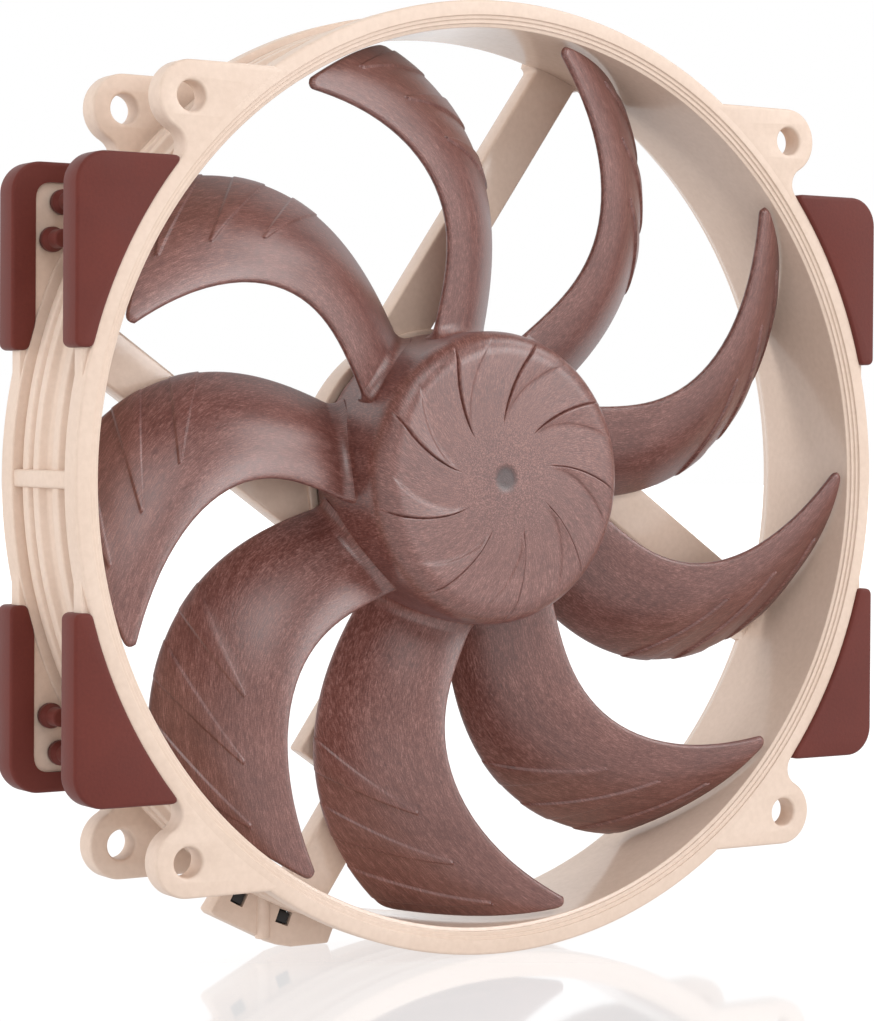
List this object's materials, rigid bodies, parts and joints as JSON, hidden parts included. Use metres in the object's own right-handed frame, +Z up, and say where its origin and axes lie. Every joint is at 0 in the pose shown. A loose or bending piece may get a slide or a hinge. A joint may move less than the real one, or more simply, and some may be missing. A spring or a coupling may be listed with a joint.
{
  "type": "case fan",
  "caption": "Axial computer case fan in a round-duct frame with swept sickle blades, screw ears, rubber corner pads and a spinning outer-rotor hub.",
  "frame": {"origin": "on the impeller's axis, half way through the fan's depth, which is the centre of its box", "axes": "+Y along the impeller's axis in the direction of the air, so the inlet and the hub cap face -Y; +Z up as the fan stands on its rim; +X to the right seen from the inlet"},
  "size_m": [0.14, 0.025, 0.1396],
  "materials": {
    "frame_plastic": "semi-gloss beige moulding",
    "impeller_plastic": "semi-gloss red-brown fibre-filled moulding",
    "pad_rubber": "matte dark red silicone rubber",
    "black_rubber": "matte black",
    "brass": "machined",
    "sintered_bronze": "sintered, oil filled",
    "nylon": "natural nylon",
    "ferrite": "bonded ferrite, dark grey",
    "steel": "zinc plated and ground",
    "lamination_steel": "stacked sheet edges",
    "copper_winding": "enamelled copper wire",
    "circuit_board": "green solder mask",
    "chip": "black moulded package",
    "capacitor": "tan ceramic body",
    "cover": "satin film, plain"
  },
  "bodies": {
    "housing": {"frame": "frame_plastic", "pad_front_upper_right": "pad_rubber", "pad_front_upper_left": "pad_rubber", "pad_front_lower_right": "pad_rubber", "pad_front_lower_left": "pad_rubber", "pad_rear_upper_right": "pad_rubber", "pad_rear_upper_left": "pad_rubber", "pad_rear_lower_right": "pad_rubber", "pad_rear_lower_left": "pad_rubber", "cable_gland": "black_rubber", "bearing_shell": "brass", "bearing_bush": "sintered_bronze", "oil_seal": "black_rubber", "retaining_clip": "nylon", "stabiliser_magnet": "ferrite", "thrust_plate": "steel", "bearing_end_cap": "brass", "stator_core": "lamination_steel", "upper_insulator": "nylon", "lower_insulator": "nylon", "coil_1": "copper_winding", "coil_2": "copper_winding", "coil_3": "copper_winding", "coil_4": "copper_winding", "coil_5": "copper_winding", "coil_6": "copper_winding", "circuit_board": "circuit_board", "driver_chip": "chip", "hall_sensor": "chip", "capacitor_1": "capacitor", "capacitor_2": "capacitor", "hub_cover": "cover"},
    "rotor": {"impeller": "impeller_plastic", "rotor_cup": "steel", "rotor_magnet": "ferrite", "shaft_boss": "brass", "shaft": "steel"}
  },
  "joints": [
    {"name": "impeller_spin", "type": "hinge", "parent": "housing", "child": "rotor", "pos_m": [0, 0, 0], "axis": [0, 1, 0], "continuous": true}
  ]
}
